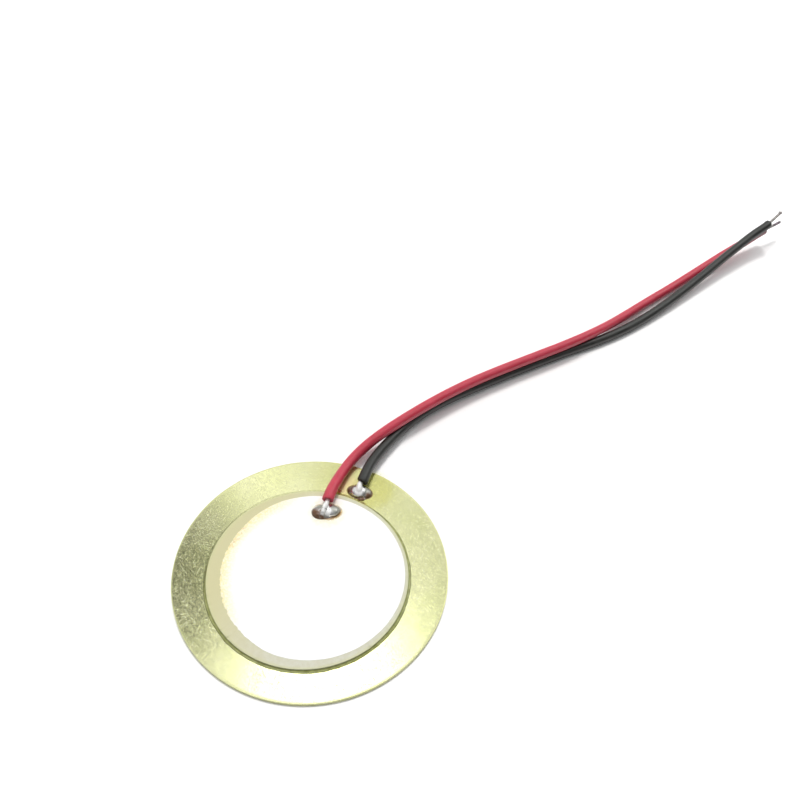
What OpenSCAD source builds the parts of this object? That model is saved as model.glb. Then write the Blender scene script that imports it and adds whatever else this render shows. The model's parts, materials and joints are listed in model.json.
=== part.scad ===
// Piezo disc: a round brass plate carries a thin piezoelectric ceramic disc, silvered on both
// faces and glued down off-centre. A red lead is soldered to the upper electrode and a black
// lead to the bare brass ring. Both leads lie on the surface that the plate rests on.
// The origin is the centre of the plate's underside, with +Z up.

/* [Plate] */
// Diameter of the brass plate
plate_d = 27; // [26:0.1:35]
// Thickness of the brass plate
plate_t = 0.3; // [0.1:0.01:0.5]
// Radius that stamping rolls onto the plate's upper edge
plate_roll_r = 0.06; // [0.02:0.01:0.09]

/* [Ceramic] */
// Diameter of the ceramic disc
ceramic_d = 19.7; // [15:0.1:20.5]
// Thickness of the ceramic disc
ceramic_t = 0.2; // [0.1:0.01:0.4]
// Offset of the ceramic disc from the plate's centre along X
ceramic_shift_x = -0.25; // [-0.5:0.05:0.5]
// Offset of the ceramic disc from the plate's centre along Y
ceramic_shift_y = -0.55; // [-0.7:0.05:0.3]

/* [Electrodes] */
// Diameter of the silver film on top of the ceramic
electrode_d = 18.2; // [13:0.1:18.4]
// Offset of the upper film from the ceramic's centre along X
electrode_shift_x = 0.4; // [-0.4:0.05:0.4]
// Offset of the upper film from the ceramic's centre along Y
electrode_shift_y = 0.15; // [-0.4:0.05:0.4]
// Thickness of each silver film
electrode_t = 0.01; // [0.005:0.001:0.03]
// Bare margin around the silver film under the ceramic
lower_margin = 0.3; // [0.1:0.05:1]

/* [Bond] */
// Thickness of the glue film under the ceramic
bond_t = 0.02; // [0.01:0.01:0.08]
// Width of the bead of glue squeezed out around the ceramic
bead_w = 0.24; // [0.05:0.01:0.4]
// Height that the bead climbs above the plate, at most to the ceramic's top
bead_h = 0.17; // [0.05:0.01:0.3]

/* [Red joint] */
// Direction of the red joint from the middle of the upper film, in degrees from +X
red_joint_angle = 85; // [70:1:95]
// Distance from the film's edge in to the middle of the red joint
red_joint_inset = 1.85; // [1.3:0.05:3]
// Width of the red joint across its lead
red_joint_w = 2.9; // [2:0.1:3.6]
// Depth of the red joint along its lead
red_joint_l = 1.9; // [1.6:0.1:2.1]
// Height of the red joint above the film
red_joint_h = 0.85; // [0.7:0.05:0.95]

/* [Black joint] */
// Direction of the black joint from the ceramic's centre, in degrees from +X
black_joint_angle = 67.5; // [55:0.5:80]
// Clear brass between the bead of glue and the black joint
black_joint_gap = 0.2; // [0.05:0.05:0.4]
// Width of the black joint across its lead
black_joint_w = 2.6; // [2:0.1:3.2]
// Depth of the black joint along its lead
black_joint_l = 1.7; // [1.5:0.1:1.9]
// Height of the black joint above the brass
black_joint_h = 0.75; // [0.65:0.05:0.9]

/* [Flux] */
// Width of the ring of flux left around each joint
flux_w = 0.3; // [0.1:0.05:0.5]
// Thickness of the flux
flux_t = 0.03; // [0.01:0.01:0.08]

/* [Leads] */
// Outside diameter of each lead's insulation
jacket_d = 1.15; // [0.8:0.05:1.2]
// Diameter of the tinned end of a stranded conductor
tinned_d = 0.38; // [0.2:0.02:0.5]
// Length of bare, untinned strands past the insulation's free end
bare_l = 1; // [0.4:0.1:2]
// Length of the tinned end past the bare strands
tinned_l = 2.6; // [1:0.1:5]

/* [Hidden] */

round_fn = 128;
roll_steps = 4;    // flats in the plate's rolled edge
bead_steps = 5;    // flats in the bead's hollow face
tube_sides = 8;
joint_sides = 28;
joint_tiers = [0, 15, 30, 43, 55, 66, 76]; // angles up the side of a solder mound
joint_flank = 2.2; // how steeply a mound's side stands on its foot
joint_crown = 0.8; // how flat its top is

// Heights of the stack, from the plate up
bond_z = plate_t;
lower_film_z = bond_z + bond_t;
ceramic_z = lower_film_z + electrode_t;
upper_film_z = ceramic_z + ceramic_t;
stack_top_z = upper_film_z + electrode_t;

// Places on the plate
ceramic_centre = [ceramic_shift_x, ceramic_shift_y];
film_centre = ceramic_centre + [electrode_shift_x, electrode_shift_y];
bead_r = ceramic_d / 2 + bead_w;
red_seat_r = electrode_d / 2 - red_joint_inset;
black_seat_r = bead_r + black_joint_gap + black_joint_l / 2;
red_seat = seat(film_centre, red_seat_r, red_joint_angle, stack_top_z);
black_seat = seat(ceramic_centre, black_seat_r, black_joint_angle, plate_t);

// A solder mound is [seat, width, depth, height, turn about Z, lopsidedness]
red_joint_turn = 0;
red_joint_lobes = 0.05;
black_joint_turn = -12;
black_joint_lobes = -0.04;
red_mound = [
    red_seat, red_joint_w, red_joint_l, red_joint_h, red_joint_turn, red_joint_lobes,
];
black_mound = [
    black_seat, black_joint_w, black_joint_l, black_joint_h, black_joint_turn, black_joint_lobes,
];

// The inside of a lead
jacket_r = jacket_d / 2;
tinned_r = tinned_d / 2;
tin_t = 0.01;          // solder that holds the strands of the tinned end together
strand_r = tinned_r - tin_t;
bore_clearance = 0.02; // between the strands and the insulation
bore_r = strand_r + bore_clearance;
socket_l = 0.3;        // how far the strands run into the tinned end

// Route of each lead: [x, y, height of its underside]. The rise is measured from the joint's
// seat, and the run from the origin. The anchor is the conductor's end inside the solder.
red_anchor = [-0.2, -0.4, 0.36];
red_rise = [[0, 0.9, 0.16], [0.71, 3.6, 0.03], [1.91, 6.36, -0.1]];
red_run = [
    [4.35, 15.41, 0.76], [6.35, 17.31, 1.2], [8.63, 19.37, 1.41], [11.18, 21.67, 1.41],
    [13.96, 23.98, 1.36], [16.92, 26.17, 1.32], [20.08, 28.27, 1.27], [23.33, 30.33, 1.24],
    [26.58, 32.37, 1.22], [29.8, 34.61, 1.11], [33.03, 37.33, 0.74], [36.2, 40.4, 0.3],
    [39.27, 43.38, 0.05], [42.27, 46.01, 0.08], [45.24, 48.57, 0.27], [48.16, 51.09, 0.52],
    [51.21, 53.68, 0.82], [54.74, 56.53, 1.19], [57.83, 58.9, 1.68],
];
red_tail_way = unit([0.8, 0.6, 0.05]);
black_anchor = [-0.2, -0.3, 0.34];
black_rise = [[0.15, 0.8, 0.15], [0.89, 3.34, 0.14], [2.1, 5.74, 0.08]];
black_run = [
    [7.69, 17.95, 0.27], [9.65, 20.43, 0.18], [12.08, 22.69, 0.16], [14.9, 24.76, 0.16],
    [17.96, 26.8, 0.13], [21.17, 28.89, 0.08], [24.44, 30.95, 0.03], [27.75, 32.95, 0],
    [31.06, 34.85, 0], [34.26, 36.86, 0], [37.31, 39.15, 0.02], [40.15, 41.62, 0.14],
    [42.91, 44.22, 0.36], [45.6, 46.88, 0.68], [48.25, 49.55, 1.08], [50.82, 52.15, 1.55],
    [53.34, 54.55, 2.05], [55.87, 56.87, 2.57], [57.89, 58.53, 3.05],
];
black_tail_way = unit([0.66, 0.74, 0.1]);

red_route = route(red_seat, red_rise, red_run);
black_route = route(black_seat, black_rise, black_run);
red_core = core_stations(red_seat + red_anchor, red_route, red_tail_way);
black_core = core_stations(black_seat + black_anchor, black_route, black_tail_way);

// Point at a distance and an angle from a centre, at height z
function seat(centre, r, angle, z) =
    [centre.x + r * cos(angle), centre.y + r * sin(angle), z];

function unit(v) = v / norm(v);

// Centreline of a lead from its rise and run
function route(seat, rise, run) = concat(
    [for (p = rise) seat + p + [0, 0, jacket_r]],
    [for (p = run) p + [0, 0, jacket_r]]
);

// Direction of travel at each point of a route
function directions(points) = let (last = len(points) - 1)
    [for (i = [0:last]) unit(points[min(i + 1, last)] - points[max(i - 1, 0)])];

// Points and directions that a conductor is swept along: from its anchor, through the
// insulation, and out into the tinned end
function core_stations(anchor, points, tail_way) = let (last = len(points) - 1) [
    concat([anchor], points, [points[last] + tail_way * (bare_l + socket_l)]),
    concat([unit(points[0] - anchor)], directions(points), [tail_way]),
];

// One ring of points around p, square to the direction of travel
function ring(p, way, r) = let (
    left = unit(cross([0, 0, 1], way)),
    up = cross(way, left)
) [
    for (k = [0:tube_sides - 1]) let (a = 360 * k / tube_sides)
        p + r * (cos(a) * left + sin(a) * up)
];

// Triangles between two neighbouring rings of n points, the first at index a, the next at b
function band(a, b, n) = [
    for (k = [0:n - 1], t = [0, 1]) let (j = (k + 1) % n)
        t == 0 ? [a + k, b + j, a + j] : [a + k, b + k, b + j]
];

// Outline of a mound's foot, scaled by s and grown by w
function foot(mound, s = 1, w = 0) = [
    for (k = [0:joint_sides - 1]) let (
        a = 360 * k / joint_sides,
        lobe = 1 + mound[5] * cos(3 * a),
        x = (mound[1] / 2 * s * lobe + w) * cos(a),
        y = (mound[2] / 2 * s * lobe + w) * sin(a),
        turn = mound[4]
    ) [mound[0].x + x * cos(turn) - y * sin(turn), mound[0].y + x * sin(turn) + y * cos(turn)]
];

// Solid through a stack of rings of n points each, closed by its first and last ring
module skin(rings, n) {
    last = len(rings) - 1;
    polyhedron(
        points = [for (loop = rings, p = loop) p],
        faces = concat(
            [[for (k = [0:n - 1]) k]],
            [for (i = [0:last - 1], face = band(i * n, (i + 1) * n, n)) face],
            [[for (k = [n - 1:-1:0]) last * n + k]]
        ),
        convexity = 6
    );
}

// Hollow tube through a list of points
module tube(points, r_out, r_in) {
    n = tube_sides;
    count = len(points);
    ways = directions(points);
    inner = count * n; // index of the first inner ring
    far = (count - 1) * n;
    polyhedron(
        points = concat(
            [for (i = [0:count - 1], p = ring(points[i], ways[i], r_out)) p],
            [for (i = [0:count - 1], p = ring(points[i], ways[i], r_in)) p]
        ),
        faces = concat(
            [for (i = [0:count - 2], face = band(i * n, (i + 1) * n, n)) face],
            [for (i = [0:count - 2], face = band(inner + (i + 1) * n, inner + i * n, n)) face],
            band(inner, 0, n),
            band(far, inner + far, n)
        ),
        convexity = 6
    );
}

// Conductor without its tinned end
module strands(core) {
    points = core[0];
    ways = core[1];
    skin([for (i = [0:len(points) - 1]) ring(points[i], ways[i], strand_r)], tube_sides);
}

module conductor(core, points, tail_way) {
    strands(core);
    translate(points[len(points) - 1] + tail_way * bare_l)
        rotate([0, acos(tail_way.z), atan2(tail_way.y, tail_way.x)])
            cylinder(h = tinned_l, d = tinned_d, $fn = 32);
}

// Rounded heap of solder with the conductor's end in it
module solder_joint(mound, core) {
    base = mound[0];
    difference() {
        skin([
            for (a = joint_tiers) let (s = cos(a), z = base.z + mound[3] * tier_height(s))
                [for (p = foot(mound, s)) [p.x, p.y, z]]
        ], joint_sides);
        strands(core);
    }
}

// Height of a mound, as a share of its full height, where its outline has shrunk to s
function tier_height(s) = pow(1 - pow(s, joint_flank), joint_crown);

// Thin ring of flux around a mound's foot
module flux_ring(mound) {
    translate([0, 0, mound[0].z])
        linear_extrude(flux_t)
            difference() {
                polygon(foot(mound, 1, flux_w));
                polygon(foot(mound));
            }
}

module disc(centre, z, d, h) {
    translate([centre.x, centre.y, z])
        cylinder(h = h, d = d, $fn = round_fn);
}

module brass_plate() {
    r = plate_d / 2;
    roll = [
        for (i = [0:roll_steps]) let (a = 90 * i / roll_steps)
            [r - plate_roll_r * (1 - cos(a)), plate_t - plate_roll_r * (1 - sin(a))]
    ];
    color("#d5d492")
        rotate_extrude($fn = round_fn)
            polygon(concat([[0, 0], [r, 0]], roll, [[0, plate_t]]));
}

// Glue film with the bead around it, and the lower film's recess in its top
module bond_layer() {
    r = ceramic_d / 2;
    film_r = r - lower_margin;
    top = min(bead_h, stack_top_z - plate_t);
    bead = [
        for (i = [0:bead_steps]) let (a = 90 * i / bead_steps)
            [r + bead_w * (1 - sin(a)), bond_z + top * (1 - cos(a))]
    ];
    edge = [[r, ceramic_z], [film_r, ceramic_z], [film_r, lower_film_z], [0, lower_film_z]];
    color("#7f7a4c")
        translate(ceramic_centre)
            rotate_extrude($fn = round_fn)
                polygon(concat([[0, bond_z]], bead, edge));
}

module lower_electrode() {
    color("#e9e9e4")
        disc(ceramic_centre, lower_film_z, ceramic_d - 2 * lower_margin, electrode_t);
}

module ceramic_disc() {
    color("#d6d3b6")
        disc(ceramic_centre, ceramic_z, ceramic_d, ceramic_t);
}

module upper_electrode() {
    color("#f4f4f0")
        disc(film_centre, upper_film_z, electrode_d, electrode_t);
}

module solder_joint_red() {
    color("#c4c4c2")
        solder_joint(red_mound, red_core);
}

module solder_joint_black() {
    color("#c4c4c2")
        solder_joint(black_mound, black_core);
}

module flux_residue_red() {
    color("#b08a4a")
        flux_ring(red_mound);
}

// The flux stops at the bead of glue
module flux_residue_black() {
    color("#b9a04a")
        difference() {
            flux_ring(black_mound);
            disc(ceramic_centre, 0, 2 * bead_r, 2 * stack_top_z);
        }
}

module red_insulation() {
    color("#cf3f55")
        tube(red_route, jacket_r, bore_r);
}

module red_conductor() {
    color("#b9babb")
        conductor(red_core, red_route, red_tail_way);
}

module black_insulation() {
    color("#2b2b2b")
        tube(black_route, jacket_r, bore_r);
}

module black_conductor() {
    color("#b9babb")
        conductor(black_core, black_route, black_tail_way);
}

brass_plate();
bond_layer();
lower_electrode();
ceramic_disc();
upper_electrode();
solder_joint_red();
solder_joint_black();
flux_residue_red();
flux_residue_black();
red_insulation();
red_conductor();
black_insulation();
black_conductor();
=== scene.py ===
"""Looks of a piezo disc: brass plate, ceramic with its silver film, two soldered leads.

Lengths below are in millimetres in the row frame, whose origin is the centre of the plate's
underside with +Z up. They become metres where a mesh is made.
"""

import json
import math

import bmesh
import bpy
import numpy as np
from mathutils import Matrix, Vector, noise

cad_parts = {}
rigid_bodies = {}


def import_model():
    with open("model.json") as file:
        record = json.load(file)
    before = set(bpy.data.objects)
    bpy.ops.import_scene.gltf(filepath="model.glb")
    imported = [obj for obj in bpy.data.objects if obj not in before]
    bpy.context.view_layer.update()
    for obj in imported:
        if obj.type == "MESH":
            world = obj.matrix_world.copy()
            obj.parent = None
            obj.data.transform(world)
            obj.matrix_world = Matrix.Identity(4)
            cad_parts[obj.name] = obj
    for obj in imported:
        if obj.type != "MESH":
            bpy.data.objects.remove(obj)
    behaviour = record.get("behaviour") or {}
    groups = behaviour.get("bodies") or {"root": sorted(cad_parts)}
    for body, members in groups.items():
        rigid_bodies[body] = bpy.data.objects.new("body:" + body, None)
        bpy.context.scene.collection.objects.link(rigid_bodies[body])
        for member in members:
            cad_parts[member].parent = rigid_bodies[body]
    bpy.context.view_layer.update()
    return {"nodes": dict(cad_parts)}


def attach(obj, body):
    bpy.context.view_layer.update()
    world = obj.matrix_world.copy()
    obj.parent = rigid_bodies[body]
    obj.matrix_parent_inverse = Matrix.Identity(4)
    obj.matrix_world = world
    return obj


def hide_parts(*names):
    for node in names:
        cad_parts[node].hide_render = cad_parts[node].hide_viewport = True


MM = 0.001
UP = np.array([0.0, 0.0, 1.0])

# Plate, ceramic and film
PLATE_R, PLATE_T, PLATE_ROLL = 13.5, 0.30, 0.06
CERAMIC_C, CERAMIC_R = (-0.25, -0.55), 9.85
CERAMIC_Z, CERAMIC_TOP = 0.33, 0.53
FILM_C, FILM_R, FILM_TOP = (0.15, -0.40), 9.10, 0.54
BEAD_W, BEAD_TOP = 0.24, 0.47
PLATE_SIDES, CERAMIC_SIDES, FILM_SIDES, BEAD_SIDES = 512, 720, 900, 512

# Leads. STRANDS is one in the middle with the others laid round it, and TWIST is the length
# of one turn of their lay.
STRANDS, STRAND_SIDES, JACKET_SIDES, TINNING_SIDES = 7, 8, 36, 36
JACKET_R, STRAND_R, LAY_R, BORE_R = 0.575, 0.061, 0.123, 0.21
BARE_L, TINNED_L, TWIST = 1.0, 2.6, 5.5
RED_SEAT, BLACK_SEAT = (0.782, 6.822, 0.54), (4.013, 9.742, 0.30)
RED_ANCHOR, BLACK_ANCHOR = (-0.2, -0.4, 0.36), (-0.2, -0.3, 0.34)
RED_RISE = [(0, 0.9, 0.16), (0.71, 3.6, 0.03), (1.91, 6.36, -0.1)]
RED_RUN = [
    (4.35, 15.41, 0.76), (6.35, 17.31, 1.2), (8.63, 19.37, 1.41), (11.18, 21.67, 1.41),
    (13.96, 23.98, 1.36), (16.92, 26.17, 1.32), (20.08, 28.27, 1.27), (23.33, 30.33, 1.24),
    (26.58, 32.37, 1.22), (29.8, 34.61, 1.11), (33.03, 37.33, 0.74), (36.2, 40.4, 0.3),
    (39.27, 43.38, 0.05), (42.27, 46.01, 0.08), (45.24, 48.57, 0.27), (48.16, 51.09, 0.52),
    (51.21, 53.68, 0.82), (54.74, 56.53, 1.19), (57.83, 58.9, 1.68),
]
RED_TAIL = (0.8, 0.6, 0.05)
BLACK_RISE = [(0.15, 0.8, 0.15), (0.89, 3.34, 0.14), (2.1, 5.74, 0.08)]
BLACK_RUN = [
    (7.69, 17.95, 0.27), (9.65, 20.43, 0.18), (12.08, 22.69, 0.16), (14.9, 24.76, 0.16),
    (17.96, 26.8, 0.13), (21.17, 28.89, 0.08), (24.44, 30.95, 0.03), (27.75, 32.95, 0),
    (31.06, 34.85, 0), (34.26, 36.86, 0), (37.31, 39.15, 0.02), (40.15, 41.62, 0.14),
    (42.91, 44.22, 0.36), (45.6, 46.88, 0.68), (48.25, 49.55, 1.08), (50.82, 52.15, 1.55),
    (53.34, 54.55, 2.05), (55.87, 56.87, 2.57), (57.89, 58.53, 3.05),
]
BLACK_TAIL = (0.66, 0.74, 0.1)

# Where painted shade darkens the red lead, under the black lead's shadow: the end of its
# insulation, and its tinned tip
RED_END, RED_TIP = (57.8, 58.9, 2.2), (60.6, 61.0, 2.4)

# Feet of the solder mounds and of the flux round them: seat, width, depth, turn in degrees,
# and how strongly three lobes show in the outline
RED_MOUND = ((RED_SEAT[0] - 0.12, RED_SEAT[1], RED_SEAT[2]), 3.05, 1.9, 12, 0.05)
BLACK_MOUND = (BLACK_SEAT, 2.7, 1.75, -12, -0.04)
RED_FLUX_FOOT = (RED_SEAT, 2.9, 1.9, 0, 0.05)
BLACK_FLUX_FOOT = (BLACK_SEAT, 2.6, 1.7, -12, -0.04)
MOUND_SIDES, NECK_SIDES = 48, 20

# Camera: place, degrees below the level, degrees of roll, lens and sensor in mm
CAMERA_AT, CAMERA_TILT, CAMERA_ROLL = (7.5597, -43.2019, 73.9643), 47.943, 3.932
LENS, SENSOR = 38.25, 36

# Main light: the direction it comes from, strength, and width in degrees
SUN_FROM, SUN_ENERGY, SUN_WIDTH = (-0.02, 0.45, 0.89), 1.62, 14
FLOOR_HALF = 1500  # half the ground's width


# ---------------------------------------------------------------- small helpers

def unit(v):
    v = np.asarray(v, float)
    return v / np.linalg.norm(v)


def ease(x, low, high):
    """Smooth step from 0 at low to 1 at high."""
    t = np.clip((np.asarray(x, float) - low) / (high - low), 0, 1)
    return t * t * (3 - 2 * t)


def wander(x, y, z):
    """Smooth noise from about -1 to 1."""
    return noise.noise(Vector((x, y, z)))


def around(angle, detail, seed):
    """Smooth noise on a circle, with about 6 times detail bumps round it."""
    return wander(detail * math.cos(angle), detail * math.sin(angle), seed)


def make_object(name, points, faces, material):
    """Smooth-shaded object from points in mm."""
    mesh = bpy.data.meshes.new(name)
    mesh.from_pydata((np.asarray(points, float) * MM).tolist(), [], faces)
    mesh.validate()
    mesh.polygons.foreach_set("use_smooth", [True] * len(mesh.polygons))
    mesh.materials.append(material)
    obj = bpy.data.objects.new(name, mesh)
    bpy.context.scene.collection.objects.link(obj)
    return obj


def ring_faces(start, count, sides, closed=False):
    """Quads between count rings of sides points, the first point at index start."""
    faces = []
    for i in range(count if closed else count - 1):
        a, b = start + i * sides, start + ((i + 1) % count) * sides
        for k in range(sides):
            j = (k + 1) % sides
            faces.append((a + k, a + j, b + j, b + k))
    return faces


def lathe(name, centre, profile, sides, shape, material):
    """Turned solid. profile runs (r, z) from the axis below, round the rim, to the axis above.
    shape(i, r, z, angle) gives the (r, z) of a point of ring i."""
    points, rim = [], [p for p in profile if p[0] > 0]
    for i, (r, z) in enumerate(rim):
        for k in range(sides):
            a = 2 * math.pi * k / sides
            rr, zz = shape(i, r, z, a)
            points.append((centre[0] + rr * math.cos(a), centre[1] + rr * math.sin(a), zz))
    faces = ring_faces(0, len(rim), sides)
    for z, first, step in ((profile[0][1], 0, -1), (profile[-1][1], (len(rim) - 1) * sides, 1)):
        hub = len(points)
        points.append((centre[0], centre[1], z))
        for k in range(sides):
            pair = (first + k, first + (k + 1) % sides)
            faces.append((hub, *pair[::step]))
    return make_object(name, points, faces, material)


def mark_sharp(obj, degrees):
    """Edges steeper than this stay crisp."""
    mesh = bmesh.new()
    mesh.from_mesh(obj.data)
    for edge in mesh.edges:
        steep = len(edge.link_faces) == 2 and edge.calc_face_angle(0) > math.radians(degrees)
        edge.smooth = not steep
    mesh.to_mesh(obj.data)
    mesh.free()


# ---------------------------------------------------------------- materials

class Graph:
    """Nodes of one shader, whose patterns are laid out by one coordinate."""

    def __init__(self, tree, coordinate):
        self.tree = tree
        self.place = self.node("ShaderNodeTexCoord").outputs[coordinate]

    def put(self, socket, value):
        """Feeds a socket from another node, or sets it to a plain value."""
        if isinstance(value, bpy.types.NodeSocket):
            self.tree.links.new(value, socket)
        elif isinstance(value, tuple) and len(value) == 3 and socket.type == "RGBA":
            socket.default_value = (*value, 1)
        else:
            socket.default_value = value

    def node(self, kind, options=(), inputs=(), **named):
        """New node with its options, and its inputs by number or by name."""
        node = self.tree.nodes.new(kind)
        for key, value in dict(options).items():
            setattr(node, key, value)
        for key, value in (*dict(inputs).items(), *named.items()):
            self.put(node.inputs[key], value)
        return node

    def map(self, value, low, high, out_low=0.0, out_high=1.0, smooth=True):
        """out_low where value is low, and out_high where it is high."""
        kind = {"interpolation_type": "SMOOTHSTEP" if smooth else "LINEAR"}
        inputs = dict(enumerate((value, low, high, out_low, out_high)))
        return self.node("ShaderNodeMapRange", kind, inputs).outputs[0]

    def math(self, operation, a, b):
        return self.node("ShaderNodeMath", {"operation": operation}, {0: a, 1: b}).outputs[0]

    def vector_math(self, operation, a, b):
        return self.node("ShaderNodeVectorMath", {"operation": operation}, {0: a, 1: b}).outputs

    def toward(self, direction):
        """How far along a direction: metres in a material, a cosine in the sky."""
        return self.vector_math("DOT_PRODUCT", self.place, unit(direction))["Value"]


class Look(Graph):
    """One procedural material round a Principled shader."""

    def __init__(self, name, **settings):
        self.material = bpy.data.materials.new(name)
        self.material.use_nodes = True
        super().__init__(self.material.node_tree, "Object")
        self.done(**settings)

    def done(self, **settings):
        """Feeds the shader's inputs and returns the material."""
        shader = self.tree.nodes["Principled BSDF"]
        for key, value in settings.items():
            self.put(shader.inputs[key], value)
        return self.material

    def moved(self, scale, turn, shift=(0, 0, 0)):
        """Coordinates turned about Z by turn degrees and then stretched."""
        turned = self.node("ShaderNodeMapping", Vector=self.place,
                           Rotation=(0, 0, math.radians(turn)))
        return self.node("ShaderNodeMapping", Vector=turned.outputs["Vector"],
                         Location=shift, Scale=scale).outputs["Vector"]

    def noise(self, size, detail, rough, where=None):
        """Noise whose bumps are about size mm across."""
        return self.node("ShaderNodeTexNoise", Vector=where or self.place, Scale=1 / (size * MM),
                         Detail=detail, Roughness=rough).outputs["Fac"]

    def mix(self, factor, a, b):
        """Colour a where factor is 0, and b where it is 1."""
        kind = {"data_type": "RGBA"}
        return self.node("ShaderNodeMix", kind, {0: factor, 6: a, 7: b}).outputs[2]

    def distance(self, centre, flat=True):
        """Distance in metres from a point in mm, in plan if flat."""
        scale = (1, 1, 0 if flat else 1)
        spot = tuple(c * MM * s for c, s in zip(centre, scale))
        place = self.vector_math("MULTIPLY", self.place, scale)[0]
        return self.vector_math("DISTANCE", place, spot)["Value"]

    def spot(self, centre, inner, outer, flat=True):
        """1 within inner mm of a point, fading to 0 at outer."""
        return self.map(self.distance(centre, flat), inner * MM, outer * MM, 1.0, 0.0)

    def bump(self, height, depth, after=None):
        """Relief that is depth mm deep, on top of another if after is given."""
        settings = {"Height": height, "Distance": depth * MM, "Strength": 1.0}
        if after is not None:
            settings["Normal"] = after
        return self.node("ShaderNodeBump", **settings).outputs["Normal"]


def brass_look():
    """Rolled brass with a pale greenish tone, fine random scratches and a dull bloom."""
    look = Look("brass", Metallic=1.0)
    bloom = look.noise(4.5, 3, 0.5)
    speckle = look.noise(0.11, 2, 0.6)
    scratches = None
    for turn, shift in ((12, 0.0), (50, 0.3), (-38, 0.7), (105, 1.1)):
        where = look.moved((0.10, 1, 1), turn, (shift, 0, 0))
        line = look.map(look.noise(0.09, 2, 0.7, where), 0.60, 0.72)
        scratches = line if scratches is None else look.math("MAXIMUM", scratches, line)
    grain = look.noise(0.13, 3, 0.6, look.moved((0.35, 1, 1), 60))
    tone = look.mix(look.map(bloom, 0.35, 0.68), (0.86, 0.87, 0.50), (0.81, 0.83, 0.44))
    tone = look.mix(look.map(speckle, 0.58, 0.74, 0, 0.11), tone, (0.62, 0.62, 0.28))
    tone = look.mix(look.map(grain, 0.35, 0.65, 0.0, 0.10), tone, (0.60, 0.62, 0.30))
    rough = look.map(grain, 0.3, 0.7, 0.15, 0.21)
    rough = look.math("ADD", rough, look.map(scratches, 0, 1, 0, 0.11))
    heated = look.spot((3.6, 11.2, 0), 2.2, 6.5)
    tone = look.mix(look.math("MULTIPLY", heated, 0.7), tone, (0.78, 0.78, 0.34))
    # Painted reflection of the red lead: the brass between the leads is warmed toward orange.
    painted_red_reflection = look.spot((2.5, 10.4, 0), 0.5, 2.0)
    tone = look.mix(look.math("MULTIPLY", painted_red_reflection, 0.8), tone, (0.88, 0.72, 0.38))
    dulled = look.spot((3.2, 11.0, 0), 1.0, 2.6)
    rough = look.math("ADD", rough, look.map(dulled, 0, 1, 0, 0.14))
    relief = look.bump(bloom, 0.012)
    relief = look.bump(grain, 0.0003, relief)
    relief = look.bump(look.math("ADD", speckle, scratches), 0.0005, relief)
    return look.done(**{"Base Color": tone, "Roughness": rough, "Normal": relief})


def ceramic_look():
    """Fired ceramic, grey-beige and faintly mottled, yellower where glue has stained its rim."""
    look = Look("ceramic", Roughness=0.55, **{"Specular IOR Level": 0.45})
    mottle = look.noise(0.55, 4, 0.6)
    grain = look.noise(0.05, 2, 0.6)
    tone = look.mix(look.map(mottle, 0.36, 0.66), (0.595, 0.585, 0.46), (0.63, 0.63, 0.53))
    left = look.map(look.toward((-1, 0.35, 0)), -3 * MM, 8 * MM)
    tone = look.mix(left, tone, (0.61, 0.58, 0.34))
    edge = look.map(look.distance((*CERAMIC_C, 0)), (CERAMIC_R - 0.4) * MM, CERAMIC_R * MM)
    tone = look.mix(look.math("MULTIPLY", edge, 0.6), tone, (0.60, 0.61, 0.33))
    tone = look.mix(look.map(grain, 0.62, 0.75, 0, 0.2), tone, (0.48, 0.46, 0.30))
    return look.done(**{"Base Color": tone, "Normal": look.bump(grain, 0.004)})


def silver_look():
    """Fired silver paste: nearly white and satin, thin and speckled along its left edge."""
    look = Look("silver", Metallic=0.12)
    grain = look.noise(0.06, 3, 0.65)
    cloud = look.noise(2.6, 3, 0.5)
    tone = look.mix(look.map(cloud, 0.35, 0.65), (0.97, 0.97, 0.965), (0.955, 0.955, 0.945))
    rim = look.map(look.distance((*FILM_C, 0)), 7.3 * MM, 8.9 * MM)
    left = look.map(look.toward((-1, 0.25, 0)), 3.2 * MM, 7.2 * MM)
    thin = look.math("MULTIPLY", rim, left)
    flecks = look.map(look.noise(0.20, 3, 0.65), 0.36, 0.62, 0.45, 1)
    tone = look.mix(look.math("MULTIPLY", thin, flecks), tone, (0.93, 0.82, 0.42))
    singed = look.map(look.noise(0.24, 3, 0.65), 0.50, 0.62)
    singed = look.math("MULTIPLY", singed, look.spot((-8.1, 3.2, 0), 0.6, 2.0))
    singed = look.math("MULTIPLY", singed, look.map(rim, 0.5, 0.9, 0, 0.75))
    tone = look.mix(singed, tone, (0.66, 0.46, 0.14))
    cloudy = look.map(look.noise(0.45, 3, 0.6), 0.3, 0.7, 0.35, 1)
    cream = look.math("MULTIPLY", look.spot((0.8, 6.7, 0), 1.2, 2.4), cloudy)
    tone = look.mix(cream, tone, (0.91, 0.88, 0.70))
    rough = look.map(grain, 0.3, 0.7, 0.38, 0.52)
    return look.done(**{"Base Color": tone, "Roughness": rough,
                        "Normal": look.bump(grain, 0.002)})


def glue_look():
    """Olive epoxy with small bubbles, glossy. Its dark tone is partly painted shade: full at the
    front, and fading almost clear toward the back left, where the light falls.
    """
    look = Look("bond", Roughness=0.22, **{"Coat Weight": 0.3})
    blotch = look.noise(0.5, 3, 0.6)
    bubbles = look.noise(0.07, 1, 0.5)
    tone = look.mix(look.map(blotch, 0.35, 0.65), (0.25, 0.27, 0.08), (0.36, 0.38, 0.14))
    # Painted shade: the dark bead is opaque at the front and fades almost clear toward the back
    # left.
    clear = look.map(look.toward((-0.5, 0.87, 0)), 0.5 * MM, 6.5 * MM, 1.0, 0.08)
    return look.done(**{"Base Color": tone, "Alpha": clear, "Normal": look.bump(bubbles, 0.006)})


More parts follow.
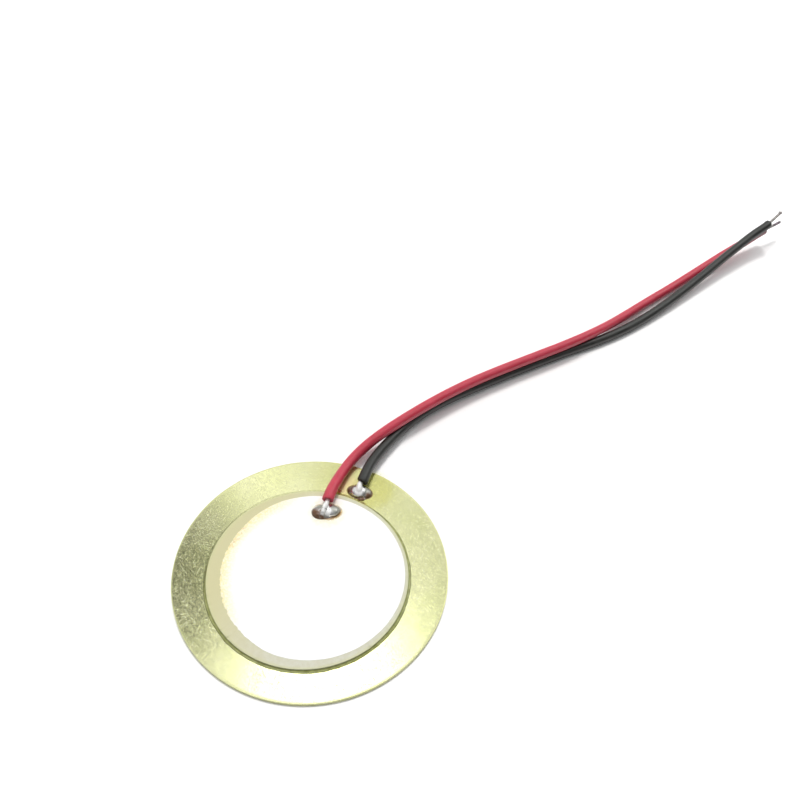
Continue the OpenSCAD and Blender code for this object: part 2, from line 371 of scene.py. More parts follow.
def solder_look(name, seat, char_and_shade_spots, painted_highlight_spots, greys):
    """Bright solder with brown marks that are partly charred flux and partly painted shade on
    its front and lower faces, painted highlights of white down its neck and ridge, and dull grey
    in places. Each place is (offset from the seat, radius within which it is full, radius where
    it ends)."""
    look = Look(name)
    grain = look.noise(0.10, 3, 0.6)
    ragged = look.map(look.noise(0.25, 2, 0.5), 0.3, 0.7, 0.75, 1.2, smooth=False)

    def patches(spots):
        total = 0.0
        for offset, inner, outer in spots:
            centre = tuple(s + o for s, o in zip(seat, offset))
            total = look.math("MAXIMUM", total, look.spot(centre, inner, outer, flat=False))
        return look.map(look.math("MULTIPLY", total, ragged), 0.0, 1.0)

    char_and_shade, painted_highlights, matt = patches(char_and_shade_spots), patches(painted_highlight_spots), patches(greys)
    # Brown: partly charred flux, partly painted shade on the joint's front and lower faces.
    char_and_shade_tone = look.mix(look.map(grain, 0.35, 0.65), (0.11, 0.050, 0.026), (0.20, 0.11, 0.06))
    tone = look.mix(matt, (0.86, 0.86, 0.85), (0.50, 0.51, 0.46))
    # Painted highlights: white, less metallic patches down the neck and ridge.
    tone = look.mix(painted_highlights, tone, (0.96, 0.96, 0.95))
    highlights_and_greys = look.math("MAXIMUM", painted_highlights, matt)
    dull = look.math("MAXIMUM", char_and_shade, painted_highlights)
    return look.done(**{
        "Base Color": look.mix(char_and_shade, tone, char_and_shade_tone),
        "Metallic": look.map(dull, 0.2, 1, 1, 0.25),
        "Roughness": look.map(highlights_and_greys, 0, 1, 0.24, 0.42),
        "Normal": look.bump(grain, 0.0015),
    })


def flux_look(name, pale, dark, turn):
    """Clear rosin left by soldering. The mesh's amount says how thick it is, and it darkens
    about where that passes turn."""
    look = Look(name, Roughness=0.16, **{"Coat Weight": 0.3})
    amount = look.node("ShaderNodeAttribute", {"attribute_name": "amount"}).outputs["Fac"]
    cloud = look.noise(0.35, 3, 0.6)
    deep = look.math("MULTIPLY", amount, look.map(cloud, 0.3, 0.7, 0.85, 1.10))
    tone = look.mix(look.map(deep, turn - 0.1, turn + 0.1), pale, dark)
    cover = look.map(deep, 0.02, 0.8, 0, 0.85, smooth=False)
    return look.done(**{"Base Color": tone, "Alpha": cover, "Normal": look.bump(cloud, 0.01)})


def jacket_look(name, deep, pale, gloss, glow, end_shade):
    """Soft PVC with fine pitting and a little dust. Glow is how far light passes through it, and
    the last argument is how strongly painted shade darkens the red lead's far end, where the
    black lead's shadow falls."""
    look = Look(name, **{"IOR": 1.6, "Specular IOR Level": gloss, "Subsurface Weight": glow,
                         "Subsurface Radius": (1.0, 0.12, 0.16), "Subsurface Scale": 0.5 * MM})
    pits = look.noise(0.09, 2, 0.6)
    cloud = look.noise(1.4, 3, 0.6)
    tone = look.mix(look.map(cloud, 0.35, 0.65), deep, pale)
    dust = look.map(look.noise(0.06, 2, 0.6), 0.66, 0.78, 0, 0.22)
    tone = look.mix(dust, tone, tuple(min(1, c * 1.5 + 0.06) for c in pale))
    # Painted shadow: the red lead's far end, under the black lead, turns dull mauve.
    shaded_end = look.map(look.spot(RED_END, 1.0, 5.0, flat=False), 0, 1, 0, end_shade)
    tone = look.mix(shaded_end, tone, (0.15, 0.09, 0.095))
    rough = look.map(cloud, 0.3, 0.7, 0.34, 0.46)
    return look.done(**{"Base Color": tone, "Roughness": rough,
                        "Normal": look.bump(pits, 0.006)})


def tinned_look():
    """Tinned copper: grey metal, a little copper showing through, and painted shade on the red
    lead's tip.
    """
    look = Look("tinned_copper", Metallic=1.0)
    patch = look.noise(0.22, 3, 0.6)
    tone = look.mix(look.map(patch, 0.45, 0.72, 0, 0.6), (0.42, 0.41, 0.39), (0.40, 0.32, 0.26))
    # Painted shade: the red lead's tinned tip is darkened, as it lies in the black lead's
    # shadow.
    tone = look.mix(look.spot(RED_TIP, 0.9, 2.4, flat=False), tone, (0.25, 0.21, 0.23))
    return look.done(**{"Base Color": tone, "Roughness": look.map(patch, 0.3, 0.7, 0.22, 0.4),
                        "Normal": look.bump(look.noise(0.05, 2, 0.6), 0.003)})


# ---------------------------------------------------------------- camera

def add_camera():
    """Same place, direction and lens as the photograph's."""
    tilt, roll = math.radians(CAMERA_TILT), math.radians(CAMERA_ROLL)
    forward = Vector((0, math.cos(tilt), -math.sin(tilt)))
    level = Vector((1, 0, 0))
    over = level.cross(forward)
    right = math.cos(roll) * level + math.sin(roll) * over
    top = math.cos(roll) * over - math.sin(roll) * level
    data = bpy.data.cameras.new("camera")
    data.lens, data.sensor_width = LENS, SENSOR
    data.clip_start, data.clip_end = 0.001, 20
    camera = bpy.data.objects.new("camera", data)
    turn = Matrix((right, top, -forward)).transposed().to_4x4()
    camera.matrix_world = Matrix.Translation(Vector(CAMERA_AT) * MM) @ turn
    bpy.context.scene.collection.objects.link(camera)
    bpy.context.scene.camera = camera


# ---------------------------------------------------------------- leads

class Line:
    """Smooth curve through points in mm, addressed by the distance along it."""

    def __init__(self, points):
        points = np.asarray(points, float)
        knots = np.concatenate([[0], np.cumsum(np.linalg.norm(np.diff(points, axis=0), axis=1))])
        bend = self.bends(points, knots)
        fine = np.linspace(0, knots[-1], 4000)
        i = np.clip(np.searchsorted(knots, fine, side="right") - 1, 0, len(knots) - 2)
        h = (knots[i + 1] - knots[i])[:, None]
        b = (fine - knots[i])[:, None] / h
        a = 1 - b
        self.points = (a * points[i] + b * points[i + 1]
                       + ((a**3 - a) * bend[i] + (b**3 - b) * bend[i + 1]) * h * h / 6)
        steps = np.linalg.norm(np.diff(self.points, axis=0), axis=1)
        self.reach = np.concatenate([[0], np.cumsum(steps)])
        self.length = self.reach[-1]

    @staticmethod
    def bends(points, knots):
        """Second derivatives of a natural cubic spline at its knots."""
        n = len(points)
        h = np.diff(knots)
        matrix, right = np.eye(n), np.zeros_like(points)
        for i in range(1, n - 1):
            matrix[i, i - 1:i + 2] = h[i - 1], 2 * (h[i - 1] + h[i]), h[i]
            slope_in = (points[i] - points[i - 1]) / h[i - 1]
            slope_out = (points[i + 1] - points[i]) / h[i]
            right[i] = 6 * (slope_out - slope_in)
        return np.linalg.solve(matrix, right)

    def at(self, s):
        return np.array([np.interp(s, self.reach, self.points[:, k]) for k in range(3)])

    def frame(self, s):
        """Point, direction, left and up at distance s."""
        low, high = max(0, s - 0.15), min(self.length, s + 0.15)
        way = unit(self.at(high) - self.at(low))
        left = unit(np.cross(UP, way))
        return self.at(s), way, left, np.cross(way, left)

    def nearest(self, point):
        """Distance along the line at its nearest place to a point."""
        return self.reach[np.argmin(np.linalg.norm(self.points - np.asarray(point), axis=1))]


def lead_line(seat, anchor, rise, run, tail):
    """Line of a conductor, and where its insulation starts and ends on it."""
    seat, tail = np.array(seat), unit(tail)
    lift = np.array([0, 0, JACKET_R])
    route = [seat + np.array(p, float) + lift for p in rise]
    route += [np.array(p, float) + lift for p in run]
    ends = [route[-1] + tail * d for d in (1.0, 2.0, BARE_L + TINNED_L)]
    line = Line([seat + np.array(anchor)] + route + ends)
    return line, line.nearest(route[0]), line.nearest(route[-1])


def jacket_stations(length):
    """(distance, radius, how much the cut's unevenness moves it) once round the wall."""
    near = [(3.0, BORE_R, 0), (0.25, BORE_R, 0.6), (0.10, 0.25, 1), (0.05, 0.36, 1),
            (0.0, 0.47, 1), (0.02, 0.56, 1), (0.08, 0.605, 1), (0.2, 0.615, 0.8),
            (0.45, 0.610, 0.3)]
    body = [(s, JACKET_R + 0.03 * (1 - ease(s, 0.8, 3.5)), 0)
            for s in np.linspace(0.9, length - 0.5, 250)]
    far = [(0.2, JACKET_R, 0.7), (0.05, 0.568, 1), (0.012, 0.545, 1), (0.0, 0.50, 1),
           (0.02, 0.35, 1), (0.03, 0.235, 1), (0.12, BORE_R, 0.8)]
    far = [(length - s, r, uneven) for s, r, uneven in far]
    back = [(s, BORE_R, 0) for s in np.linspace(length - 1.5, 4.5, 60)]
    return near + body + far + back


def add_jacket(name, line, start, end, near_cut, far_cut, material):
    """Insulation as a hollow tube with unevenly cut ends. Each cut is (how far it slants, the
    side in degrees toward which it does, seed)."""
    sides, points = JACKET_SIDES, []
    stations = jacket_stations(end - start)
    for s, r, uneven in stations:
        centre, way, left, up = line.frame(start + s)
        slant, toward, seed = near_cut if s < (end - start) / 2 else far_cut
        for k in range(sides):
            a = 2 * math.pi * k / sides
            rough = 1 + 0.010 * wander(s * 0.8, 2 * math.cos(a), 2 * math.sin(a) + seed)
            shift = uneven * (slant * math.cos(a - math.radians(toward))
                              + 0.035 * around(a, 1.6, seed))
            spoke = math.cos(a) * left + math.sin(a) * up
            points.append(centre + r * rough * spoke + way * shift)
    points = np.array(points)
    points[:, 2] = np.maximum(points[:, 2], 0)
    faces = ring_faces(0, len(stations), sides, closed=True)
    return make_object(name, points, faces, material)


def tube_parts(parts, centres, radii, lefts, ups, sides, lobes=None):
    """Adds a closed tube to parts, which is (points, faces). lobes(i, a) scales its radius."""
    points, faces = parts
    first = len(points)
    for i, (centre, r) in enumerate(zip(centres, radii)):
        for k in range(sides):
            a = 2 * math.pi * k / sides
            rr = r * (1 if lobes is None else lobes(i, a))
            points.append(centre + rr * (math.cos(a) * lefts[i] + math.sin(a) * ups[i]))
    faces += ring_faces(first, len(centres), sides)
    last = first + (len(centres) - 1) * sides
    faces.append(tuple(first + k for k in reversed(range(sides))))
    faces.append(tuple(last + k for k in range(sides)))


def add_conductor(name, line, jacket_end, splay, material):
    """Twisted strands, and the solder that soaks their far end, where they splay a little."""
    parts = ([], [])
    reach = np.concatenate([np.linspace(0, jacket_end - 1, 300),
                            np.linspace(jacket_end - 0.9, line.length, 40)])
    frames = [line.frame(s) for s in reach]
    lefts, ups = [f[2] for f in frames], [f[3] for f in frames]
    for strand in range(STRANDS):
        centres, radii = [], []
        for s, (centre, way, left, up) in zip(reach, frames):
            a = 2 * math.pi * (s / TWIST + strand / (STRANDS - 1))
            tip = ease(s, line.length - 0.6, line.length)
            out = 0 if strand == STRANDS - 1 else LAY_R * (1 + splay * tip * (strand % 3) / 2)
            short = 0.05 * (strand % 4) * tip
            centres.append(centre + out * (math.cos(a) * left + math.sin(a) * up) - way * short)
            radii.append(STRAND_R * (1 - 0.5 * ease(s, line.length - 0.06, line.length)))
        tube_parts(parts, centres, radii, lefts, ups, STRAND_SIDES)
    add_tinning(parts, line, jacket_end)
    return make_object(name, parts[0], parts[1], material)


def add_tinning(parts, line, jacket_end):
    """Solder skin over the strands' far end, in which their lay still shows."""
    start, end = jacket_end + BARE_L * 0.6, line.length - 0.12
    reach = np.concatenate([[start, start + 0.05, start + 0.15],
                            np.linspace(start + 0.3, end - 0.12, 30), [end - 0.04, end]])
    frames = [line.frame(s) for s in reach]
    grow = 0.13 + 0.062 * ease(reach, start, start + 0.5)
    grow = grow - 0.06 * ease(reach, end - 0.12, end)

    def lobes(i, a):
        turn = 2 * math.pi * reach[i] / TWIST
        lay = math.cos((STRANDS - 1) * (a - turn))
        return 1 + 0.045 * lay + 0.05 * wander(reach[i] * 1.5, a, 3.0)

    tube_parts(parts, [f[0] for f in frames], grow, [f[2] for f in frames],
               [f[3] for f in frames], TINNING_SIDES, lobes)


def add_lead(colour, line, start, end, cuts, splay, jacket, wire):
    """Insulation and conductor of one lead."""
    tube = add_jacket(f"{colour}_lead_jacket", line, start, end, *cuts, jacket)
    core = add_conductor(f"{colour}_lead_strands", line, end, splay, wire)
    path = [line.at(s) * MM for s in np.linspace(start, end, 160)]
    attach(tube, "root")
    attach(core, "root")
    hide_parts(f"{colour}_insulation")
    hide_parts(f"{colour}_conductor")


# ---------------------------------------------------------------- plate and ceramic

def add_plate(material):
    """Stamped plate: rolled upper edge, burnished and torn bands on its side, a fine burr."""
    roll = [(PLATE_R - PLATE_ROLL * (1 - math.cos(a)), PLATE_T - PLATE_ROLL * (1 - math.sin(a)))
            for a in np.radians([0, 15, 30, 45, 60, 75, 90])]
    profile = [(0, 0), (4, 0), (8, 0), (11, 0), (12.6, 0), (13.3, 0), (13.46, 0.002),
               (13.49, 0.0), (13.5, 0.012), (13.488, 0.05), (13.486, 0.09), (13.499, 0.11)]
    profile += roll + [(13.2, PLATE_T), (12.4, PLATE_T), (11, PLATE_T), (9, PLATE_T),
                       (5, PLATE_T), (0, PLATE_T)]

    def shape(i, r, z, a):
        torn = 0.006 * around(a, 40, 2.0) if 0.02 < z < 0.1 else 0
        wave = 0.002 * around(a, 9, 5.0) if r > 13.4 else 0
        return r + torn + wave, z

    obj = lathe("plate", (0, 0), profile, PLATE_SIDES, shape, material)
    mark_sharp(obj, 50)
    return obj


def add_ceramic(material):
    """Ceramic disc with a softened, faintly chipped edge."""
    r, low, top = CERAMIC_R, CERAMIC_Z, CERAMIC_TOP
    profile = [(0, low), (9, low), (r - 0.04, low), (r, low + 0.03), (r, top - 0.05),
               (r - 0.006, top - 0.022), (r - 0.022, top - 0.006), (r - 0.05, top),
               (r - 0.11, top), (9.3, top), (6, top), (0, top)]

    def shape(i, radius, z, a):
        chip = max(0.0, around(a, 26, 1.0) - 0.30) + 0.7 * max(0.0, around(a, 60, 4.0) - 0.34)
        near = {4: 0.1, 5: 0.28, 6: 0.30, 7: 0.26}.get(i, 0) * chip
        sink = {4: 0.2, 5: 0.14, 6: 0.12, 7: 0.05}.get(i, 0) * chip
        return radius - near, z - sink

    return lathe("ceramic", CERAMIC_C, profile, CERAMIC_SIDES, shape, material)


def add_film(material):
    """Printed silver film: even round most of its edge, ragged on the left."""
    profile = [(0, CERAMIC_TOP), (8, CERAMIC_TOP), (FILM_R, CERAMIC_TOP),
               (FILM_R, CERAMIC_TOP + 0.004), (FILM_R - 0.03, FILM_TOP - 0.001),
               (FILM_R - 0.12, FILM_TOP), (8.3, FILM_TOP), (5, FILM_TOP), (0, FILM_TOP)]

    def shape(i, r, z, a):
        ragged = ease(-math.cos(a - 0.12), 0.35, 0.85)
        bite = 0.020 * around(a, 5, 1.0) + 0.012 * around(a, 40, 2.0)
        bite -= ragged * (0.12 + 0.16 * abs(around(a, 22, 6.0)) + 0.16 * abs(around(a, 70, 7.0)))
        return (r + bite if r > 8.5 else r), z

    return lathe("silver_film", FILM_C, profile, FILM_SIDES, shape, material)


def add_bead(material):
    """Glue squeezed out round the ceramic: hollow-faced and uneven in width."""
    sides, arc = BEAD_SIDES, np.radians([90, 72, 54, 36, 18, 0])
    points = []
    foot = [(CERAMIC_R - 0.4, PLATE_T + 0.001), (CERAMIC_R - 0.4, CERAMIC_Z - 0.001),
            (CERAMIC_R - 0.03, CERAMIC_Z - 0.001)]
    rings = len(foot) + len(arc)
    for i in range(rings):
        for k in range(sides):
            a = 2 * math.pi * k / sides
            wide = BEAD_W * (1.15 + 0.30 * around(a, 3, 1.0) + 0.16 * around(a, 14, 3.0))
            high = BEAD_TOP - PLATE_T - 0.02 + 0.05 * around(a, 6, 8.0)
            if i < len(foot):
                r, z = foot[i]
            else:
                t = arc[i - len(foot)]
                r = CERAMIC_R + wide * (1 - math.sin(t)) - (0.03 if t > 1.5 else 0)
                z = PLATE_T + 0.001 + high * (1 - math.cos(t))
            points.append((CERAMIC_C[0] + r * math.cos(a), CERAMIC_C[1] + r * math.sin(a), z))
    return make_object("glue_bead", points, ring_faces(0, rings, sides, closed=True), material)


# ---------------------------------------------------------------- solder and flux

def foot_point(a, mound, scale):
    """Point at angle a of a mound's outline in plan, scaled about its seat."""
    seat, wide, deep, turn, lobes = mound
    lobe = 1 + lobes * math.cos(3 * a)
    x = wide / 2 * scale * lobe * math.cos(a)
    y = deep / 2 * scale * lobe * math.sin(a)
    t = math.radians(turn)
    return (seat[0] + x * math.cos(t) - y * math.sin(t),
            seat[1] + x * math.sin(t) + y * math.cos(t))


def mound_parts(parts, mound, height):
    """Adds a rounded heap, which starts a little below the surface it stands on."""
    points, faces = parts
    first, sides, z0 = len(points), MOUND_SIDES, mound[0][2]
    levels = [(1.0, -0.2), (1.02, 0.0)]
    levels += [(math.cos(a), height * (1 - math.cos(a)**2.2)**0.8)
               for a in np.radians([12, 24, 36, 48, 60, 70, 79])]
    for scale, z in levels:
        for k in range(sides):
            x, y = foot_point(2 * math.pi * k / sides, mound, scale)
            points.append(np.array([x, y, z0 + z]))
    faces += ring_faces(first, len(levels), sides)
    faces.append(tuple(first + k for k in reversed(range(sides))))
    last = first + (len(levels) - 1) * sides
    faces.append(tuple(last + k for k in range(sides)))


def ball_parts(parts, centre, radii):
    """Adds a lump of solder."""
    points, faces = parts
    mesh = bmesh.new()
    bmesh.ops.create_icosphere(mesh, subdivisions=3, radius=1)
    first = len(points)
    points += [np.asarray(centre) + np.asarray(v.co) * radii for v in mesh.verts]
    faces += [tuple(first + v.index for v in face.verts) for face in mesh.faces]
    mesh.free()


def neck_parts(parts, path, radii):
    """Adds the solder that has crept up the wire."""
    line = Line(path)
    reach = np.linspace(0, line.length, 24)
    frames = [line.frame(s) for s in reach]
    sizes = np.interp(reach, np.linspace(0, line.length, len(radii)), radii)
    tube_parts(parts, [f[0] for f in frames], sizes, [f[2] for f in frames],
               [f[3] for f in frames], NECK_SIDES)


def melt(name, parts, voxel, rounds):
    """One skin round all the parts, smoothed as if it had flowed. Worked in mm."""
    mesh = bpy.data.meshes.new(name)
    mesh.from_pydata([tuple(p) for p in parts[0]], [], parts[1])
    obj = bpy.data.objects.new(name, mesh)
    bpy.context.scene.collection.objects.link(obj)
    remesh = obj.modifiers.new("skin", "REMESH")
    remesh.mode, remesh.voxel_size, remesh.use_smooth_shade = "VOXEL", voxel, True
    smooth = obj.modifiers.new("flow", "SMOOTH")
    smooth.factor, smooth.iterations = 0.5, rounds
    shaped = obj.evaluated_get(bpy.context.evaluated_depsgraph_get()).to_mesh()
    points = np.array([tuple(v.co) for v in shaped.vertices])
    faces = [tuple(p.vertices) for p in shaped.polygons]
    bpy.data.objects.remove(obj)
    bpy.data.meshes.remove(mesh)
    return points, faces


def ruffle(points, low, depth):
    """Small waves in a surface that has set while it moved, and a flat foot at height low."""
    for p in points:
        wave = wander(p[0] * 3.1, p[1] * 3.1, p[2] * 3.1) + 0.5 * wander(*(p * 7.3))
        p[2] += depth * wave
    points[:, 2] = np.maximum(points[:, 2], low)
    return points


def add_joint(name, mound, height, neck, lumps, material):
    """Solder joint as it has flowed round the end of the wire."""
    parts = ([], [])
    mound_parts(parts, mound, height)
    neck_parts(parts, *neck)
    for centre, radii in lumps:
        ball_parts(parts, centre, radii)
    points, faces = melt(name, parts, voxel=0.04, rounds=18)
    points = ruffle(points, low=mound[0][2], depth=0.005)
    return make_object(name, points, faces, material)


def red_joint(material):
    """Joint on the silver film, higher on its right."""
    neck = ([(0.84, 7.95, 1.29), (0.79, 7.72, 1.275), (0.70, 7.35, 1.23), (0.55, 6.85, 1.12),
             (0.42, 6.38, 0.94), (0.34, 6.12, 0.76)], [0.17, 0.24, 0.27, 0.27, 0.24, 0.15])
    lumps = [((1.15, 6.85, 0.72), (0.95, 0.72, 0.42)), ((0.00, 6.62, 0.72), (0.72, 0.66, 0.30)),
             ((0.25, 6.25, 0.64), (0.62, 0.42, 0.22))]
    return add_joint("red_joint", RED_MOUND, 0.42, neck, lumps, material)


def black_joint(material):
    """Joint on the bare brass, spread low to both sides."""
    neck = ([(4.10, 10.85, 1.12), (4.0, 10.54, 1.06), (3.92, 10.25, 1.0), (3.90, 9.9, 0.88),
             (3.88, 9.5, 0.66), (3.88, 9.3, 0.5)], [0.17, 0.23, 0.29, 0.36, 0.36, 0.24])
    lumps = [((3.9, 9.72, 0.46), (0.98, 0.80, 0.52)), ((4.66, 9.58, 0.42), (0.60, 0.60, 0.30)),
             ((3.26, 9.80, 0.40), (0.56, 0.58, 0.28)), ((4.20, 8.80, 0.34), (0.42, 0.20, 0.12))]
    return add_joint("black_joint", BLACK_MOUND, 0.26, neck, lumps, material)


def film_of_flux(name, centre, reach, surface, amount, material):
    """Thin film laid over a surface, wherever amount(x, y) is above 0."""
    step, thin, thick = 0.045, 0.004, 0.03
    count = int(2 * reach / step)
    index, points, amounts = {}, [], []
    for i in range(count + 1):
        for j in range(count + 1):
            x, y = centre[0] - reach + i * step, centre[1] - reach + j * step
            level = amount(x, y)
            if level > 0:
                index[i, j] = len(points)
                amounts.append(min(1.0, level))
                points.append((x, y, surface(x, y) + thin + thick * amounts[-1]))
    faces = []
    for i, j in index:
        corners = [(i, j), (i + 1, j), (i + 1, j + 1), (i, j + 1)]
        if all(c in index for c in corners):
            faces.append(tuple(index[c] for c in corners))
    obj = make_object(name, points, faces, material)
    layer = obj.data.attributes.new("amount", "FLOAT", "POINT")
    layer.data.foreach_set("value", amounts)
    return obj


def outside_foot(x, y, mound):
    """Distance in plan outside a mound's foot, roughly, and the angle there."""
    seat, wide, deep, turn, _ = mound
    t = math.radians(-turn)
    dx, dy = x - seat[0], y - seat[1]
    u, v = dx * math.cos(t) - dy * math.sin(t), dx * math.sin(t) + dy * math.cos(t)
    span = math.hypot(u / (wide / 2), v / (deep / 2))
    return (span - 1) * math.sqrt(wide * deep) / 2, math.atan2(v, u)


def red_flux(material):
    """Amber film close round the red joint, widest on its right."""

    def amount(x, y):
        out, a = outside_foot(x, y, RED_FLUX_FOOT)
        width = 0.24 + 0.14 * around(a, 1.4, 3.0) + 0.10 * max(0, math.cos(a))
        return 1.0 - max(0.0, out + 0.1) / width if out > -0.3 else 0

    return film_of_flux("red_flux", RED_SEAT, 2.1, lambda x, y: FILM_TOP, amount, material)


def bead_height(x, y):
    """Height of the surface near the ceramic's edge: glue, then brass."""
    r = math.hypot(x - CERAMIC_C[0], y - CERAMIC_C[1])
    if r < CERAMIC_R - 0.02:
        return CERAMIC_TOP
    t = min(1.0, max(0.0, (r - CERAMIC_R) / BEAD_W))
    return PLATE_T + (BEAD_TOP - PLATE_T) * (1 - t)**2


def black_flux(material):
    """Film round the black joint, a pale halo on its right, and a streak along the ceramic."""

    def amount(x, y):
        out, a = outside_foot(x, y, BLACK_FLUX_FOOT)
        dx, dy = x - CERAMIC_C[0], y - CERAMIC_C[1]
        r, turn = math.hypot(dx, dy), math.degrees(math.atan2(dy, dx))
        if out < -0.35 or r < CERAMIC_R - 0.14:
            return 0
        cloud = 0.5 + 0.5 * wander(x * 1.3, y * 1.3, 4.0)
        fine = 0.06 * wander(x * 3, y * 3, 9.0)
        front = 0.5 - 0.5 * math.sin(a + 0.3)
        near = 1.15 - max(0.0, out) / (0.08 + 0.14 * front)
        away = math.hypot(x - 5.3, (y - 10.2) * 0.9)
        halo = 0.33 * ease(2.9 - away, 0, 1.4) * (0.8 + 0.4 * cloud)
        along = ease(turn, 57, 61) * (1 - ease(turn, 78, 83))
        streak = 0.55 * along * ease(0.30 - abs(r - 10.03), 0, 0.15)
        return max(near, halo + fine * (halo > 0.1), streak) - 0.06

    return film_of_flux("black_flux", (4.4, 9.9), 3.3, bead_height, amount, material)


# ---------------------------------------------------------------- stage

def add_floor():
    """White ground that keeps the shadows. It is a little brighter far back to the camera, and
    darker to the light that it bounces."""
    look = Look("ground", Roughness=0.9, **{"Specular IOR Level": 0.0})
    path = look.node("ShaderNodeLightPath").outputs
    seen = look.math("MAXIMUM", path["Is Camera Ray"], path["Is Glossy Ray"])
    seen = look.math("MAXIMUM", seen, path["Is Transmission Ray"])
    tone = look.mix(seen, (0.80, 0.80, 0.80), (1.0, 1.0, 1.0))
    # Painted light: far back the ground glows a little for the camera, which lightens the
    # shadows there.
    reach = look.toward((0.6, 0.8, 0))
    far = look.math("ADD", look.map(reach, 50 * MM, 72 * MM, 0, 0.10),
                    look.map(reach, 80 * MM, 98 * MM, 0, 0.30))
    glow = look.math("MULTIPLY", far, path["Is Camera Ray"])
    material = look.done(**{"Base Color": tone, "Emission Color": (1.0, 1.0, 1.0),
                            "Emission Strength": glow})
    half = FLOOR_HALF
    corners = [(-half, -half, 0), (half, -half, 0), (half, half, 0), (-half, half, 0)]
    floor = make_object("floor", corners, [(0, 1, 2, 3)], material)


def add_sun():
    """Main light, from behind and above. It throws the shadows; the sky gives the gloss."""
    data = bpy.data.lights.new("key", "SUN")
    data.energy, data.angle = SUN_ENERGY, math.radians(SUN_WIDTH)
    data.color = (1.0, 0.985, 0.965)
    lamp = bpy.data.objects.new("key", data)
    lamp.matrix_world = Vector(SUN_FROM).to_track_quat("Z", "Y").to_matrix().to_4x4()
    lamp.visible_glossy = False
    bpy.context.scene.collection.objects.link(lamp)


# Softboxes and shades of the sky: how each joins the rest, its direction, the degrees within
# which it is full and beyond which it ends, and its strength
SKY_PATCHES = [
    ("MAXIMUM", (-0.03, 0.52, 0.85), 16, 40, 0.98),
    ("MAXIMUM", (-0.057, 0.397, 0.916), 3.5, 6.4, 4.2),
    ("MAXIMUM", (-0.25, -0.05, 0.97), 10, 20, 1.8),
    ("MAXIMUM", (0.50, 0.45, 0.74), 8, 18, 2.6),
    ("MULTIPLY", (1.0, -0.15, 0.1), 25, 50, 0.3),
    ("MULTIPLY", (-0.245, 0.475, 0.845), 4.0, 8.0, 0.03),
    ("MULTIPLY", (0.08, 0.50, 0.86), 2.8, 7.6, 0.62),
    ("MULTIPLY", (-0.06, 0.62, 0.785), 2.5, 5.5, 0.70),
    ("MULTIPLY", (-0.175, 0.57, 0.80), 1.5, 5.0, 1.78),
]
NO_CHANGE = {"MAXIMUM": 0.0, "MULTIPLY": 1.0}


class Sky(Graph):
    """World nodes that give the light from each direction."""

    def __init__(self):
        world = bpy.data.worlds.new("studio")
        bpy.context.scene.world = world
        world.use_nodes = True
        super().__init__(world.node_tree, "Generated")
        self.back = self.tree.nodes["Background"]

    def patch(self, direction, inner, outer, inside, outside):
        """Value inside within inner degrees of a direction, and outside beyond outer."""
        return self.map(self.toward(direction), math.cos(math.radians(outer)),
                        math.cos(math.radians(inner)), outside, inside)


def add_sky():
    """Bright room behind the object, darker in front, with softboxes overhead. The camera
    itself sees plain white."""
    sky = Sky()
    room = sky.map(sky.toward((0, 1, 0)), -0.45, 0.35, 0.30, 0.75)
    lift = sky.map(sky.toward((0, 0, 1)), 0.1, 0.7, 0.70, 1.10)
    light = sky.math("MULTIPLY", room, lift)
    for join, direction, inner, outer, strength in SKY_PATCHES:
        patch = sky.patch(direction, inner, outer, strength, NO_CHANGE[join])
        light = sky.math(join, light, patch)
    seen = sky.node("ShaderNodeLightPath").outputs["Is Camera Ray"]
    sky.put(sky.back.inputs["Strength"], sky.math("MAXIMUM", light, seen))
    sky.put(sky.back.inputs["Color"], (1, 1, 1))


# ---------------------------------------------------------------- the whole scene

def clear_scene():
    """Leaves out the objects that Blender starts with."""
    for obj in list(bpy.data.objects):
        bpy.data.objects.remove(obj)


def add_leads():
    """The two leads, red and black, from their solder joints to their bare ends."""
    wire = tinned_look()
    # The red lead's last number darkens its far end with painted shade.
    red = jacket_look("red_pvc", (0.50, 0.028, 0.056), (0.55, 0.038, 0.074), 0.6, 0.12, 0.75)
    black = jacket_look("black_pvc", (0.010, 0.012, 0.009), (0.018, 0.020, 0.016), 0.6, 0, 0)
    red_line = lead_line(RED_SEAT, RED_ANCHOR, RED_RISE, RED_RUN, RED_TAIL)
    black_line = lead_line(BLACK_SEAT, BLACK_ANCHOR, BLACK_RISE, BLACK_RUN, BLACK_TAIL)
    red_cuts = ((0.05, 200, 2.0), (0.04, 90, 5.0))
    black_cuts = ((0.08, 0, 7.0), (0.10, 60, 11.0))
    add_lead("red", *red_line, red_cuts, 0.5, red, wire)
    add_lead("black", *black_line, black_cuts, 1.4, black, wire)


def dress(obj, node):
    """obj stands for a CAD node and takes its place on the body."""
    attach(obj, "root")
    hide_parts(node)


def add_disc(nodes):
    """Plate, glue, ceramic and silver films."""
    silver = silver_look()
    dress(add_plate(brass_look()), "brass_plate")
    dress(add_bead(glue_look()), "bond_layer")
    dress(add_ceramic(ceramic_look()), "ceramic_disc")
    dress(add_film(silver), "upper_electrode")
    nodes["lower_electrode"].material_slots[0].material = silver
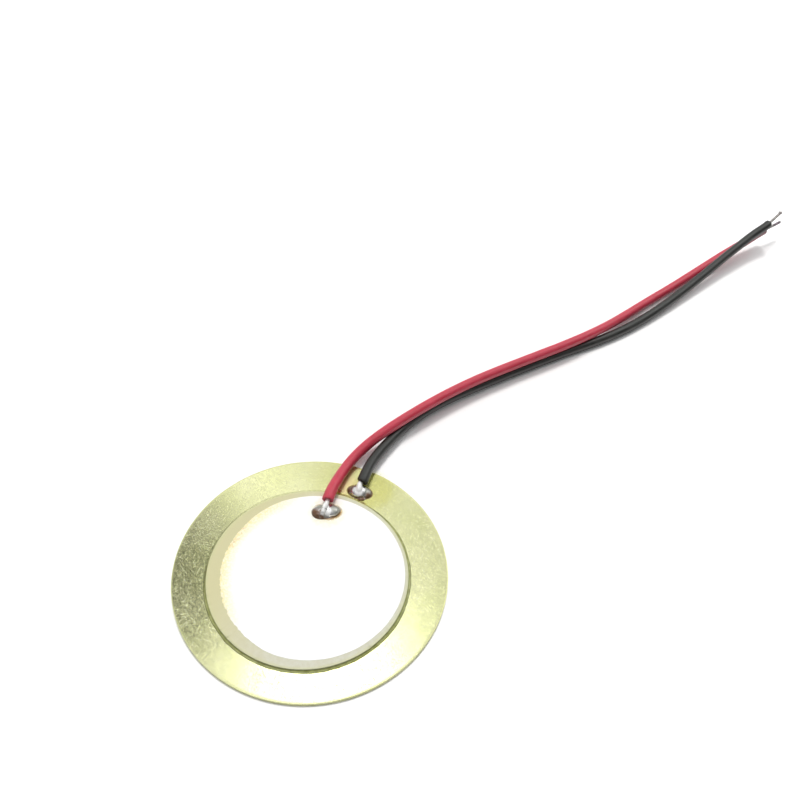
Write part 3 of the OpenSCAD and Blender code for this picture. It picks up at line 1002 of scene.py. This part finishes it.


# Marks on the two joints, as solder_look takes them: brown marks partly of charred flux and
# partly painted shade, painted highlights, and dull grey
RED_SPOTS = {
    "char_and_shade_spots": [
        ((-1.15, -0.55, 0.1), 0.30, 1.05), ((-0.55, -0.95, 0.05), 0.25, 0.70),
        ((0.1, -1.0, 0.0), 0.10, 0.45), ((-0.62, -0.25, 0.38), 0.05, 0.30),
        ((0.6, -0.95, 0.0), 0.05, 0.5), ((0.36, -0.55, 0.76), 0.03, 0.24),
    ],
    "painted_highlight_spots": [
        ((0.02, 0.75, 0.75), 0.25, 0.50), ((-0.12, 0.25, 0.68), 0.25, 0.48),
        ((-0.28, -0.25, 0.50), 0.18, 0.42), ((-0.40, -0.60, 0.35), 0.10, 0.32),
        ((0.15, -0.45, 0.40), 0.15, 0.42),
    ],
    "greys": [
        ((0.95, 0.10, 0.20), 0.40, 0.85), ((-0.10, -0.70, 0.15), 0.10, 0.40),
        ((-0.75, 0.30, 0.25), 0.20, 0.60),
    ],
}
BLACK_SPOTS = {
    "char_and_shade_spots": [
        ((-1.35, 0.0, 0.1), 0.20, 0.85), ((-0.3, -0.95, 0.0), 0.10, 0.50),
        ((0.15, -0.98, 0.05), 0.28, 0.50), ((0.9, -0.60, 0.05), 0.20, 0.75),
        ((1.3, 0.0, 0.0), 0.10, 0.55),
    ],
    "painted_highlight_spots": [
        ((-0.10, 0.45, 0.75), 0.20, 0.42), ((-0.10, 0.05, 0.65), 0.25, 0.60),
        ((-0.12, -0.38, 0.35), 0.30, 0.58),
    ],
    "greys": [
        ((0.70, -0.15, 0.15), 0.30, 0.75), ((-0.75, 0.10, 0.15), 0.20, 0.55),
    ],
}


def add_joints():
    """Solder joints and the flux around them."""
    red = solder_look("solder_red", RED_SEAT, **RED_SPOTS)
    black = solder_look("solder_black", BLACK_SEAT, **BLACK_SPOTS)
    amber = flux_look("flux_amber", (0.72, 0.50, 0.20), (0.26, 0.13, 0.03), 0.65)
    lime = flux_look("flux_lime", (0.88, 0.86, 0.22), (0.22, 0.12, 0.04), 0.46)
    dress(red_joint(red), "solder_joint_red")
    dress(black_joint(black), "solder_joint_black")
    dress(red_flux(amber), "flux_residue_red")
    dress(black_flux(lime), "flux_residue_black")


clear_scene()
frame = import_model()
add_camera()
add_leads()
add_disc(frame["nodes"])
add_joints()
add_floor()
add_sun()
add_sky()
bpy.context.scene.view_settings.view_transform = "Standard"
